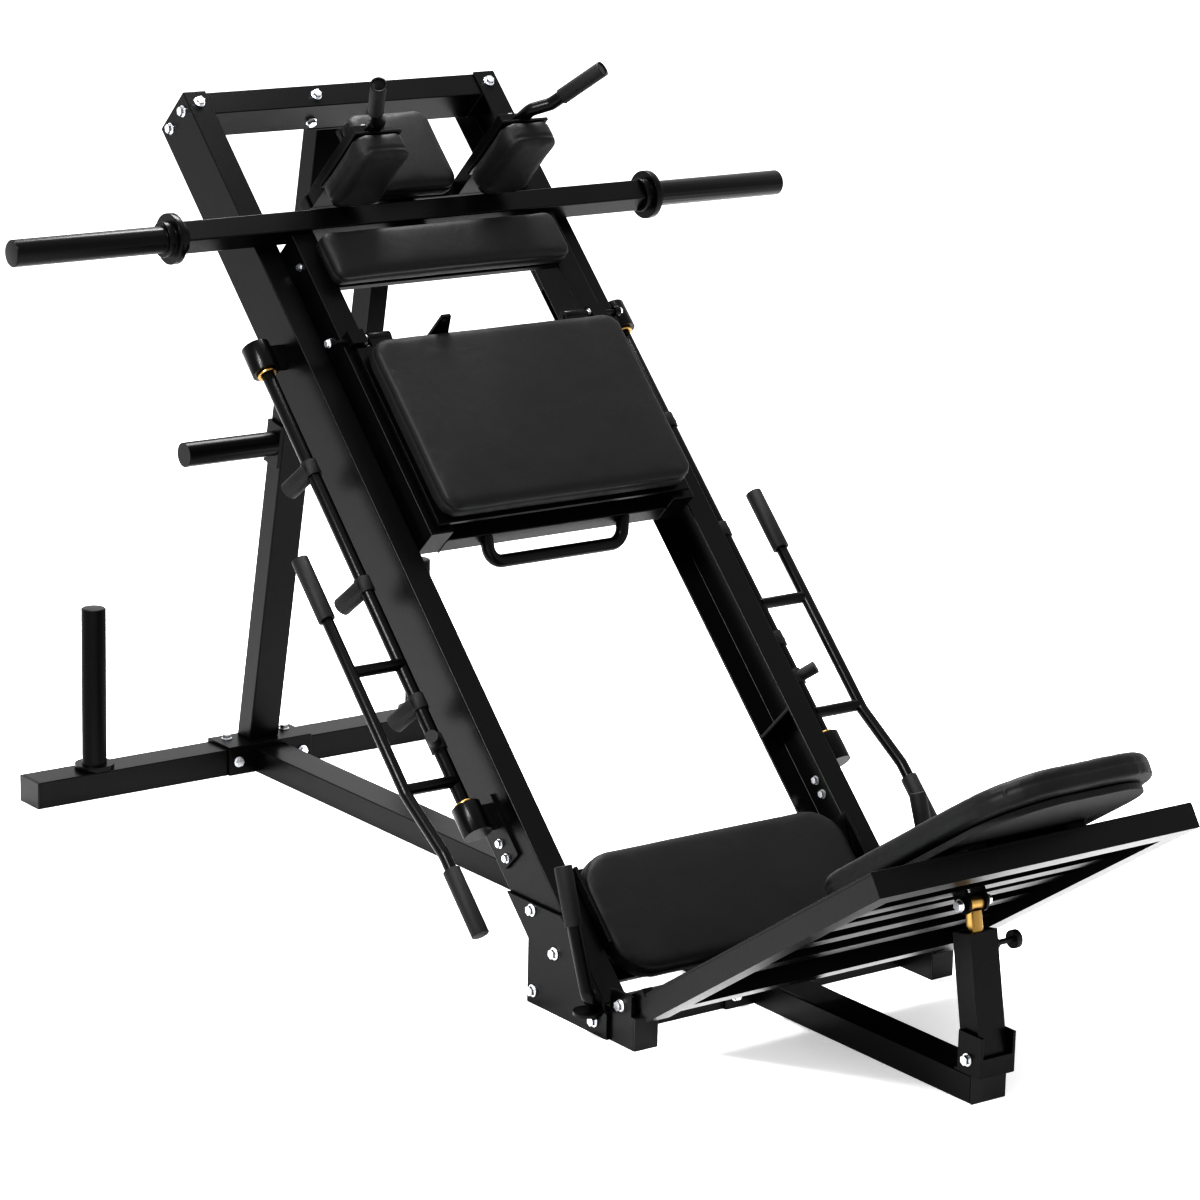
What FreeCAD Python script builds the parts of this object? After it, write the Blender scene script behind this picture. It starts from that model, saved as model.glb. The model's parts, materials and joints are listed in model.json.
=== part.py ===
import FreeCAD, Part
import math
import os
import re
import Sketcher
from FreeCAD import Placement, Rotation, Vector

# Hack squat and leg press machine: two 45 degree channel rails, a sled that rolls in them,
# a hinged foot platform on an adjustable strut, and a safety shaft beside each rail.
# Millimetres. X is the width, -Y the front (platform), +Z up. The origin is on the floor,
# on the plane of symmetry, halfway along the base.

os.makedirs("parts", exist_ok=True)
doc = FreeCAD.newDocument("HackSquat")

SIZES = {
    # rails
    "rail_angle": 45, "rail_foot_y": -635, "rail_run": 2068.6, "rail_half": 360,
    "channel_wide": 50, "channel_deep": 115, "channel_wall": 5, "stop_at": 1495, "stop_thick": 8,
    "top_beam_start": 2, "top_beam_wide": 50, "top_beam_deep": 75,
    # base
    "rear_beam_half": 545, "rear_beam_y": 1120, "rear_beam_wide": 75, "rear_beam_high": 55,
    "beam_wall": 4, "base_wide": 75, "base_high": 50, "front_end": 1165, "cap_thick": 4,
    "cross_front": 575, "cross_deep": 50, "flange_wide": 200, "flange_thick": 8,
    "foot_high": 60, "foot_rear": 355, "foot_front": 662, "gusset_thick": 7, "gusset_top": 185,
    "gusset_front": 590, "peg_radius": 25, "peg_top": 388, "peg_inset": 151, "peg_flange": 40,
    "post_wide": 70, "post_deep": 50, "post_foot_y": 1128, "saddle_half": 100, "saddle_thick": 6,
    "head_at": 12, "head_long": 80, "head_thick": 8, "head_wide": 130,
    "post_peg_up": 660, "post_peg_reach": 250, "post_overrun": 60, "bolt_near": 70, "bolt_far": 78,
    "side_grip_out": 40, "side_grip_y": -500, "side_grip_z": 290, "side_grip_run": 46,
    "side_grip_rise": 125, "side_grip_long": 98.5, "side_grip_bend": 16, "shelf_radius": 26,
    # seat
    "seat_start": 1701, "seat_long": 248, "seat_half": 299, "seat_top": 15, "pad_thick": 50,
    "seat_board": 12, "cheek_long": 180, "support_start": 1780, "support_long": 100,
    # sled
    "member_wide": 50, "member_gap": 10, "member_low": -30, "member_high": 70, "member_end": 1046,
    "bar_at": 350, "bar_up": 30, "bar_thick": 45, "bar_half": 525, "collar_radius": 47.5,
    "collar_hub": 33, "collar_step": 14, "sleeve_radius": 25, "sleeve_end": 876, "cross_tube": 40,
    "spine_half": 30, "spine_high": 45, "spine_start": 120, "spine_end": 450,
    "roller_radius": 52, "roller_wide": 33, "roller_upper": 440, "roller_lower": 835,
    "roller_plate": 10, "axle_radius": 10, "fit_gap": 0.05, "soft_gap": 0.4,
    "back_start": 393, "back_long": 112, "back_half": 272, "board_thick": 12,
    "head_start": 130, "head_pad_long": 190, "head_half": 98, "head_up": 38,
    "shoulder_near": 108, "shoulder_far": 228, "shoulder_at": 300, "shoulder_low": 72,
    "shoulder_high": 250, "shoulder_thick": 56, "shoulder_plate": 6, "handle_radius": 12.5,
    "handle_out": 252, "handle_tip": 311, "handle_high": 407, "handle_bend": 24,
    "loop_half": 150, "loop_reach": 36, "loop_bend": 30,
    "brace_half": 20, "brace_deep": 60, "brace_drop": 310, "brace_run": 220,
    # flip panel
    "hinge_at": 622, "hinge_up": 45, "hinge_pin": 4.5, "barrel_radius": 12, "panel_start": 645,
    "panel_long": 390, "panel_half": 285, "panel_plate": 8, "panel_low": 47, "panel_pad": 49,
    "lug_at": 120, "lug_half": 40, "lug_top": 130, "lug_thick": 6,
    # safety shafts
    "shaft_out": 50, "shaft_up": -62, "shaft_radius": 12.5, "cup_radius": 27, "cup_upper": 545,
    "cup_long": 58, "cup_wall": 5, "cup_lower": 1540, "cup_plate": 6, "cup_plate_long": 124,
    "ring_long": 6, "lever_reach": 110, "lever_radius": 11, "grip_radius": 16, "lever_bend": 60,
    "lever_top": 1010, "lever_knee": 1500, "lever_heel": 1640, "lever_end": 1795, "lever_lift": 6,
    "lever_step": 37, "link_upper": 1245, "link_lower": 1490, "grip_long": 125,
    "stop_upper": 820, "stop_middle": 1075, "stop_lower": 1325, "stop_angle": -75,
    "shaft_stub": 18, "stub_reach": 68, "hub_long": 30, "hub_wall": 3,
    "latch_at": 1410, "latch_angle": 51, "latch_radius": 12, "latch_long": 45,
    # platform
    "pivot_y": -620, "pivot_z": 72, "incline": 33.4, "deck_half": 349, "deck_wide": 50,
    "deck_deep": 40, "deck_start": 38, "deck_end": 750, "deck_plate": 5, "arm_wide": 20,
    "arm_half": 10, "pivot_bolt": 5, "slat_wide": 45, "slat_deep": 20,
    "leg_start": 330, "leg_long": 615, "leg_half": 188, "leg_rise": 12,
    # strut
    "clevis_at": 545.3, "clevis_drop": 50.5, "clevis_pin": 6, "clevis_play": 1.2, "clevis_bar": 25,
    "strut_y": -1150, "strut_z": 76, "strut_lean": 10.5, "strut_half": 30, "strut_deep": 45,
    "strut_top": 212, "strut_wall": 4, "bracket_plate": 6,
    "bracket_top": 122, "bracket_half": 33, "rod_radius": 14, "rod_low": 40, "pin_up": 182,
    "pin_radius": 5, "knob_radius": 16,
}

sheet = doc.addObject("Spreadsheet::Sheet", "sizes")
for row, (word, number) in enumerate(SIZES.items(), 1):
    sheet.set(f"A{row}", word)
    sheet.set(f"B{row}", str(number))
    sheet.setAlias(f"B{row}", word)
doc.recompute()

# Frames: the Y and Z of the origin, the tilt about X, and the way in which "along" is counted.
# A rail's along is the distance down from its top end and its up is the height above its top face.
RAIL_TOP_Y = "(rail_foot_y + rail_run * cos(rail_angle))"
RAIL_TOP_Z = "(rail_run * sin(rail_angle))"
WORLD = ("0", "0", "0", 1)
RAIL = (RAIL_TOP_Y, RAIL_TOP_Z, "rail_angle", -1)
DECK = ("pivot_y", "pivot_z", "(0 - incline)", -1)
STRUT = ("strut_y", "strut_z", "(0 - strut_lean)", 1)
SIDES = (("left", -1), ("right", 1))
pieces = []


def bound(text):
    """Point each size named in an expression at its cell in the sheet."""
    return re.sub(r"[a-z_]+", lambda word: "sizes." + word[0] if word[0] in SIZES else word[0], str(text))


def value(text):
    """Work out an expression of the sizes as a number."""
    answer = sheet.evalExpression(bound(text))
    return answer.Value if hasattr(answer, "Value") else float(answer)


def spread(frame, pair):
    """The lower and upper local Y of a stretch counted along a frame."""
    low, high = pair
    return (low, high) if frame[3] > 0 else (f"0 - ({high})", f"0 - ({low})")


def place(item, frame, x, local_y, up, turn=0):
    """Seat an object in a frame, turned about X."""
    origin_y, origin_z, tilt, _ = frame
    item.Placement = Placement(Vector(0, 0, 0), Rotation(Vector(1, 0, 0), 30))
    item.setExpression("Placement.Base.x", bound(x))
    item.setExpression("Placement.Base.y",
                       bound(f"{origin_y} + ({local_y}) * cos({tilt}) - ({up}) * sin({tilt})"))
    item.setExpression("Placement.Base.z",
                       bound(f"{origin_z} + ({local_y}) * sin({tilt}) + ({up}) * cos({tilt})"))
    item.setExpression("Placement.Rotation.Angle", bound(f"{tilt} + {turn}"))


def finish(item, label):
    """Give an object the name of its sub-part and list it for export."""
    item.Label = label
    pieces.append(item)
    return item


def block(frame, x, along, up):
    """A box between two values in each direction of a frame."""
    item = doc.addObject("Part::Box", "Block")
    run = spread(frame, along)
    item.setExpression("Length", bound(f"({x[1]}) - ({x[0]})"))
    item.setExpression("Width", bound(f"({along[1]}) - ({along[0]})"))
    item.setExpression("Height", bound(f"({up[1]}) - ({up[0]})"))
    place(item, frame, x[0], run[0], up[0])
    return item


def rod(frame, radius, x, along, up):
    """A round bar along the one direction that is given as a pair."""
    item = doc.addObject("Part::Cylinder", "Rod")
    item.setExpression("Radius", bound(radius))
    line = along if isinstance(along, tuple) else (along, along)
    run = spread(frame, line)
    if isinstance(x, tuple):
        item.setExpression("Height", bound(f"({x[1]}) - ({x[0]})"))
        place(item, frame, x[0], run[0], up)
        item.setExpression("Placement.Rotation.Angle", None)
        base = item.Placement.Base
        item.Placement = Placement(base, Rotation(Vector(0, 1, 0), 90))
    elif isinstance(along, tuple):
        item.setExpression("Height", bound(f"({along[1]}) - ({along[0]})"))
        place(item, frame, x, run[0], up, -90)
    else:
        item.setExpression("Height", bound(f"({up[1]}) - ({up[0]})"))
        place(item, frame, x, run[0], up[0])
    return item


def cut(base, *tools):
    """Take one or more objects away from another."""
    item = doc.addObject("Part::Cut", "Cut")
    item.Base = base
    item.Tool = tools[0] if len(tools) == 1 else fuse(*tools)
    return item


def fuse(*items):
    """Join objects into one solid."""
    item = doc.addObject("Part::MultiFuse", "Weld")
    item.Shapes = list(items)
    item.Refine = True
    return item


def overlap(first, second):
    """What two objects share."""
    item = doc.addObject("Part::Common", "Shared")
    item.Base, item.Tool = first, second
    return item


def group(label, items):
    """Keep separate like solids together as one sub-part."""
    item = doc.addObject("Part::Compound", "Group")
    item.Links = list(items)
    return finish(item, label)


def both(sign, near, far):
    """The X range of a stretch on one side of the plane of symmetry."""
    return (f"({near})", f"({far})") if sign > 0 else (f"0 - ({far})", f"0 - ({near})")


def tube(frame, x, along, up, wall, way):
    """A rectangular tube, open at both ends of its way: 0 for X, 1 for along, 2 for up."""
    outer = block(frame, x, along, up)
    inside = []
    for axis, (low, high) in enumerate((x, along, up)):
        step = "0 - 1" if axis == way else wall
        inside.append((f"{low} + ({step})", f"{high} - ({step})"))
    return cut(outer, block(frame, *inside))


def bent_rod(frame, points, bend, radius):
    """A round bar bent through points given as X, along and up, with an arc at each corner."""
    spots = []
    for x, along, up in points:
        local_y = value(along) * frame[3]
        spots.append(Vector(value(x), local_y, value(up)))
    edges = []
    start = spots[0]
    for before, corner, after in zip(spots, spots[1:], spots[2:]):
        inward = (before - corner).normalize()
        outward = (after - corner).normalize()
        half = inward.getAngle(outward) / 2
        reach = bend / math.tan(half)
        middle = (inward + outward).normalize() * (bend / math.sin(half) - bend)
        first, last = corner + inward * reach, corner + outward * reach
        edges.append(Part.LineSegment(start, first).toShape())
        edges.append(Part.Arc(first, corner + middle, last).toShape())
        start = last
    edges.append(Part.LineSegment(start, spots[-1]).toShape())
    ring = Part.Wire(Part.makeCircle(radius, spots[0], spots[1] - spots[0]))
    shape = Part.Wire(edges).makePipeShell([ring], True, True)
    if shape.Volume < 0:
        shape.reverse()
    item = doc.addObject("Part::Feature", "BentRod")
    item.Shape = shape
    origin = Vector(0, value(frame[0]), value(frame[1]))
    item.Placement = Placement(origin, Rotation(Vector(1, 0, 0), value(frame[2])))
    return item


def plane_of(body, role):
    """One of a body's own origin planes."""
    return next(item for item in body.Origin.OriginFeatures if item.Role == role)


def outline(body, role, corners):
    """A closed sketch of straight lines, each corner tied to the sheet."""
    sketch = body.newObject("Sketcher::SketchObject", "Outline")
    sketch.AttachmentSupport = (plane_of(body, role), "")
    sketch.MapMode = "FlatFace"
    numbers = [Vector(value(across), value(upward), 0) for across, upward in corners]
    for start, end in zip(numbers, numbers[1:] + numbers[:1]):
        sketch.addGeometry(Part.LineSegment(start, end))
    for index, (across, upward) in enumerate(corners):
        following = (index + 1) % len(corners)
        sketch.addConstraint(Sketcher.Constraint("Coincident", index, 2, following, 1))
        ties = (("DistanceX", across, numbers[index].x), ("DistanceY", upward, numbers[index].y))
        for kind, text, number in ties:
            at = sketch.addConstraint(Sketcher.Constraint(kind, -1, 1, index, 1, number))
            sketch.setExpression(f"Constraints[{at}]", bound(text))
    return sketch


def pad(body, sketch, length):
    """Pad a sketch along its normal by a length from the sheet."""
    feature = body.newObject("PartDesign::Pad", "Pad")
    feature.Profile = sketch
    feature.setExpression("Length", bound(length))
    return feature


def cushion(label, frame, x, along, up, corner, edge):
    """A closed upholstered form: a padded rectangle with round corners and soft edges."""
    body = doc.addObject("PartDesign::Body", "Cushion")
    wide, deep, high = (f"({pair[1]}) - ({pair[0]})" for pair in (x, along, up))
    sketch = outline(body, "XY_Plane", (("0", "0"), (wide, "0"), (wide, deep), ("0", deep)))
    form = pad(body, sketch, high)
    doc.recompute()
    rounds = ((corner, lambda box: box.ZLength > 1), (edge, lambda box: box.ZLength < 0.01))
    for radius, wanted in rounds:
        names = [f"Edge{number}" for number, item in enumerate(form.Shape.Edges, 1) if wanted(item.BoundBox)]
        fillet = body.newObject("PartDesign::Fillet", "Soft")
        fillet.Base = (form, names)
        fillet.Radius = radius
        doc.recompute()
        form = fillet
    body.Tip = form
    place(body, frame, x[0], spread(frame, along)[0], up[0])
    return finish(body, label) if label else body


def bolt(frame, x, along, up, way, sense=1, size=9):
    """A hexagon head on its washer, standing on a face: way 0 is X, 1 along, 2 up."""
    washer = doc.addObject("Part::Cylinder", "Washer")
    washer.Radius, washer.Height = size * 1.25, 2
    head = doc.addObject("Part::Prism", "Head")
    head.Polygon, head.Circumradius, head.Height = 6, size, size * 0.8
    head.Placement = Placement(Vector(0, 0, 2), Rotation())
    item = fuse(washer, head)
    turns = (Rotation(Vector(0, 1, 0), 90 * sense), Rotation(Vector(1, 0, 0), -90 * sense),
             Rotation(Vector(1, 0, 0), 0 if sense > 0 else 180))
    tilt = Placement(Vector(0, value(frame[0]), value(frame[1])), Rotation(Vector(1, 0, 0), value(frame[2])))
    spot = Vector(value(x), value(along) * frame[3], value(up))
    item.Placement = tilt * Placement(spot, turns[way])
    return item


# ---------------------------------------------------------------- the base

def base_pieces():
    """Beams on the floor, the leaning rear post and the storage pegs."""
    rear = ("rear_beam_y - rear_beam_wide / 2", "rear_beam_y + rear_beam_wide / 2")
    half = "(rear_beam_half - cap_thick)"
    finish(tube(WORLD, (f"0 - {half}", half), rear, ("0", "rear_beam_high"), "beam_wall", 0), "rear_cross_beam")
    base = ("0 - base_wide / 2", "base_wide / 2")
    finish(tube(WORLD, base, ("0 - cross_front + cross_deep", rear[0]), ("0", "base_high"), "beam_wall", 1),
           "centre_base_beam")
    flange = block(WORLD, ("0 - flange_wide / 2", "flange_wide / 2"),
                   ("0 - cross_front - flange_thick", "0 - cross_front"), ("0", "base_high"))
    inner = "(rail_half - channel_wide)"
    cross = tube(WORLD, (f"0 - {inner}", inner), ("0 - cross_front", "0 - cross_front + cross_deep"),
                 ("0", "base_high"), "beam_wall", 0)
    finish(fuse(cross, flange), "front_cross_beam")
    front = tube(WORLD, base, ("0 - front_end + cap_thick", "0 - cross_front - flange_thick"),
                 ("0", "base_high"), "beam_wall", 1)
    finish(front, "front_base_beam")
    caps = [block(WORLD, both(sign, half, "rear_beam_half"), rear, ("0", "rear_beam_high")) for _, sign in SIDES]
    caps.append(block(WORLD, base, ("0 - front_end", "0 - front_end + cap_thick"), ("0", "base_high")))
    for _, sign in SIDES:
        span = both(sign, inner, "rail_half")
        caps.append(block(WORLD, span, ("0 - foot_front", "0 - foot_front + cap_thick"), ("0", "foot_high")))
        caps.append(block(WORLD, span, ("0 - foot_rear - cap_thick", "0 - foot_rear"), ("0", "foot_high")))
    group("end_caps", caps)
    saddle_top = "rear_beam_high + saddle_thick"
    deck = block(WORLD, ("0 - saddle_half", "saddle_half"),
                 (f"{rear[0]} - saddle_thick", f"{rear[1]} + saddle_thick"), ("base_high", saddle_top))
    beam = block(WORLD, ("0 - saddle_half - 1", "saddle_half + 1"), rear, ("0", "rear_beam_high"))
    skirt = block(WORLD, ("0 - saddle_half", "saddle_half"), (rear[1], f"{rear[1]} + saddle_thick"),
                  ("0", "base_high"))
    wings = [block(WORLD, both(sign, "base_wide / 2", "saddle_half"), (f"{rear[0]} - saddle_thick", rear[0]),
                   ("0", "base_high")) for _, sign in SIDES]
    finish(cut(fuse(deck, skirt, *wings), beam), "rear_saddle")
    pegs = []
    for _, sign in SIDES:
        middle = f"{sign} * (rear_beam_half - peg_inset)"
        stem = rod(WORLD, "peg_radius", middle, "rear_beam_y", ("rear_beam_high", "peg_top"))
        ring = rod(WORLD, "peg_flange", middle, "rear_beam_y", ("rear_beam_high", "rear_beam_high + 10"))
        ring = overlap(ring, block(WORLD, both(sign, "0", "rear_beam_half"), rear, ("0", "peg_top")))
        pegs.append(fuse(stem, ring))
    post = post_frame()
    for _, sign in SIDES:
        peg = rod(post, "peg_radius", both(sign, "post_wide / 2", "post_peg_reach"), "0", "post_peg_up")
        plate = block(post, both(sign, "post_wide / 2", "post_wide / 2 + 8"),
                      ("0 - post_deep / 2", "post_deep / 2"), ("post_peg_up - 45", "post_peg_up + 45"))
        pegs.append(fuse(peg, plate))
    group("storage_pegs", pegs)


def post_frame():
    """The rear post's own frame: from the saddle up to the head plate under the top beam."""
    under = "(top_beam_deep + channel_wall + head_thick)"
    head_y = f"({RAIL_TOP_Y} - head_at * cos(rail_angle) + {under} * sin(rail_angle))"
    head_z = f"({RAIL_TOP_Z} - head_at * sin(rail_angle) - {under} * cos(rail_angle))"
    foot_z = "(rear_beam_high + saddle_thick)"
    lean = f"(atan((post_foot_y - {head_y}) / ({head_z} - {foot_z})) / 1 deg)"
    return ("post_foot_y", foot_z, lean, 1)


def rear_post():
    """A leaning tube welded to a bolted plate under the top beam, its foot cut level."""
    post = post_frame()
    long = tube(post, ("0 - post_wide / 2", "post_wide / 2"), ("0 - post_deep / 2", "post_deep / 2"),
                ("0 - post_overrun", "rail_run"), "beam_wall", 2)
    under = "(0 - top_beam_deep - channel_wall - head_thick)"
    wide = ("0 - rail_half", "rail_half")
    above = block(RAIL, wide, ("0 - rail_run", "rail_run"), (under, "rail_run"))
    below = block(WORLD, wide, ("post_foot_y - rail_half", "post_foot_y + rail_half"),
                  ("0 - rail_half", "rear_beam_high + saddle_thick"))
    plate = block(RAIL, ("0 - head_wide / 2", "head_wide / 2"),
                  ("head_at - head_long / 2", "head_at + head_long / 2"), (under, f"{under} + head_thick"))
    finish(fuse(cut(long, above, below), plate), "rear_post")


def feet():
    """Foot tubes with the platform's pivot ears, gusset plates and side grips."""
    pivot_top = "pivot_z + 23"
    for name, sign in SIDES:
        inner = "(rail_half - channel_wide)"
        foot = tube(WORLD, both(sign, inner, "rail_half"),
                    ("0 - foot_front + cap_thick", "0 - foot_rear - cap_thick"), ("0", "foot_high"), "beam_wall", 1)
        ear = block(WORLD, both(sign, "rail_half - gusset_thick", "rail_half"),
                    ("pivot_y - 30", "pivot_y + 30"), ("foot_high", pivot_top))
        hole = rod(WORLD, "pivot_bolt", both(sign, "rail_half - 20", "rail_half + 20"), "pivot_y", "pivot_z")
        finish(cut(fuse(foot, ear), hole), f"{name}_foot_tube")
        plate = doc.addObject("PartDesign::Body", "GussetPlate")
        rise = "tan(rail_angle)"
        back = "channel_deep / cos(rail_angle)"
        corners = (("0 - foot_rear", "0"), ("0 - foot_rear", f"(0 - foot_rear - rail_foot_y) * {rise} - {back}"),
                   (f"rail_foot_y + (gusset_top + {back}) / {rise}", "gusset_top"),
                   (f"rail_foot_y + gusset_top / {rise}", "gusset_top"),
                   ("0 - gusset_front", f"(0 - gusset_front - rail_foot_y) * {rise}"), ("0 - gusset_front", "0"))
        pad(plate, outline(plate, "YZ_Plane", corners), "gusset_thick")
        plate.setExpression("Placement.Base.x",
                            bound("rail_half" if sign > 0 else "0 - rail_half - gusset_thick"))
        finish(plate, f"{name}_gusset")
    grips, sleeves = [], []
    for _, sign in SIDES:
        out = f"{sign} * (rail_half + side_grip_out)"
        path = ((f"{sign} * rail_half", "side_grip_y - 56", "58"), (out, "side_grip_y - 80", "80"),
                (out, "side_grip_y - side_grip_run", "side_grip_z - side_grip_rise"),
                (out, "side_grip_y", "side_grip_z"))
        shelf = rod(WORLD, "shelf_radius", f"{sign} * (rail_half + 30)", "side_grip_y - 66", ("46", "52"))
        inside = block(WORLD, ("0 - rail_half - gusset_thick", "rail_half + gusset_thick"),
                       ("0 - gusset_front - 30", "0 - foot_rear"), ("0", "gusset_top"))
        bar = bent_rod(WORLD, path, value("side_grip_bend"), value("handle_radius"))
        grips.append(cut(fuse(bar, shelf), inside))
        way = Vector(0, value("side_grip_run"), value("side_grip_rise")).normalize()
        upper = Vector(value(out), value("side_grip_y"), value("side_grip_z"))
        long = value("side_grip_long")
        sleeve = doc.addObject("Part::Feature", "Sleeve")
        outer = Part.makeCylinder(value("grip_radius"), long + 6, upper - way * long, way)
        core = Part.makeCylinder(value("handle_radius"), long, upper - way * long, way)
        sleeve.Shape = outer.cut(core)
        sleeves.append(sleeve)
    group("side_grip_tubes", grips)
    group("side_grip_sleeves", sleeves)


# ---------------------------------------------------------------- the rails

def rails():
    """C channels that open inwards, cut level on the foot tubes, with the sled's end stops."""
    for name, sign in SIDES:
        body = doc.addObject("PartDesign::Body", "Channel")
        web, lip = f"{sign} * rail_half", f"{sign} * (rail_half - channel_wide)"
        skin = f"{sign} * (rail_half - channel_wall)"
        corners = ((web, "0"), (lip, "0"), (lip, "0 - channel_wall"), (skin, "0 - channel_wall"),
                   (skin, "0 - channel_deep + channel_wall"), (lip, "0 - channel_deep + channel_wall"),
                   (lip, "0 - channel_deep"), (web, "0 - channel_deep"))
        pad(body, outline(body, "XZ_Plane", corners), "rail_run")
        place(body, RAIL, "0", "0", "0")
        stop = block(RAIL, both(sign, "rail_half - channel_wide", "rail_half - channel_wall"),
                     ("stop_at - stop_thick / 2", "stop_at + stop_thick / 2"),
                     ("0 - channel_deep + channel_wall", "0 - channel_wall"))
        floor = block(WORLD, ("0 - rail_half - 50", "rail_half + 50"), ("rail_foot_y - 600", "rail_foot_y + 600"),
                      ("0 - 600", "foot_high"))
        finish(cut(fuse(body, stop), floor), f"{name}_rail")
    web = "(rail_half - channel_wall)"
    finish(tube(RAIL, (f"0 - {web}", web), ("top_beam_start", "top_beam_start + top_beam_wide"),
                ("0 - channel_wall - top_beam_deep", "0 - channel_wall"), "beam_wall", 0), "top_cross_beam")


def seat():
    """A cushion on a board over a cross plate between the rails."""
    web = "(rail_half - channel_wall)"
    low = "(seat_top - pad_thick)"
    plate = block(RAIL, (f"0 - {web}", web), ("support_start", "support_start + support_long"),
                  (f"{low} - 2 * seat_board", f"{low} - seat_board"))
    board = block(RAIL, ("0 - seat_half + 12", "seat_half - 12"),
                  ("seat_start + 12", "seat_start + seat_long - 16"), (f"{low} - seat_board", low))
    cheeks = [block(RAIL, both(sign, "seat_half + 4", "rail_half - channel_wide - 1"),
                    ("seat_start + 28", "seat_start + cheek_long"), (f"{low} - 2 * seat_board", "seat_top + 4"))
              for _, sign in SIDES]
    finish(fuse(plate, board, *cheeks), "seat_support")
    cushion("seat_pad", RAIL, ("0 - seat_half", "seat_half"), ("seat_start", "seat_start + seat_long"),
            (f"{low} + soft_gap", "seat_top"), 76, 12)


def cups():
    """Bearing cups for the safety shafts, welded above and bolted below, with brass thrust rings."""
    housings, rings = [], []
    ring_radius = "(cup_radius - 8)"
    for _, sign in SIDES:
        centre = f"{sign} * (rail_half + shaft_out)"
        ends = (("cup_upper", "cup_upper + cup_wall", "cup_upper + cup_long + 1", "cup_upper + cup_long"),
                ("cup_lower", "cup_lower - 1", "cup_lower + cup_long - cup_wall", "cup_lower - ring_long"))
        for start, bore_from, bore_to, ring_at in ends:
            steel = [rod(RAIL, "cup_radius", centre, (start, f"{start} + cup_long"), "shaft_up"),
                     block(RAIL, both(sign, "rail_half", "rail_half + shaft_out"),
                           (f"{start} + 8", f"{start} + cup_long - 8"), ("shaft_up - 12", "shaft_up + 12"))]
            if start == "cup_lower":
                steel.append(block(RAIL, both(sign, "rail_half", "rail_half + cup_plate"),
                                   ("cup_lower - 4", "cup_lower - 4 + cup_plate_long"),
                                   ("shaft_up - 30", "shaft_up + 22")))
            bore = rod(RAIL, "shaft_radius + fit_gap", centre, (bore_from, bore_to), "shaft_up")
            housings.append(cut(fuse(*steel), bore))
            ring = rod(RAIL, ring_radius, centre, (ring_at, f"{ring_at} + ring_long"), "shaft_up")
            hole = rod(RAIL, "shaft_radius + fit_gap", centre, (f"{ring_at} - 1", f"{ring_at} + ring_long + 1"),
                       "shaft_up")
            rings.append(cut(ring, hole))
    group("shaft_cups", housings)
    group("cup_rings", rings)


# ---------------------------------------------------------------- the sled

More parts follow.
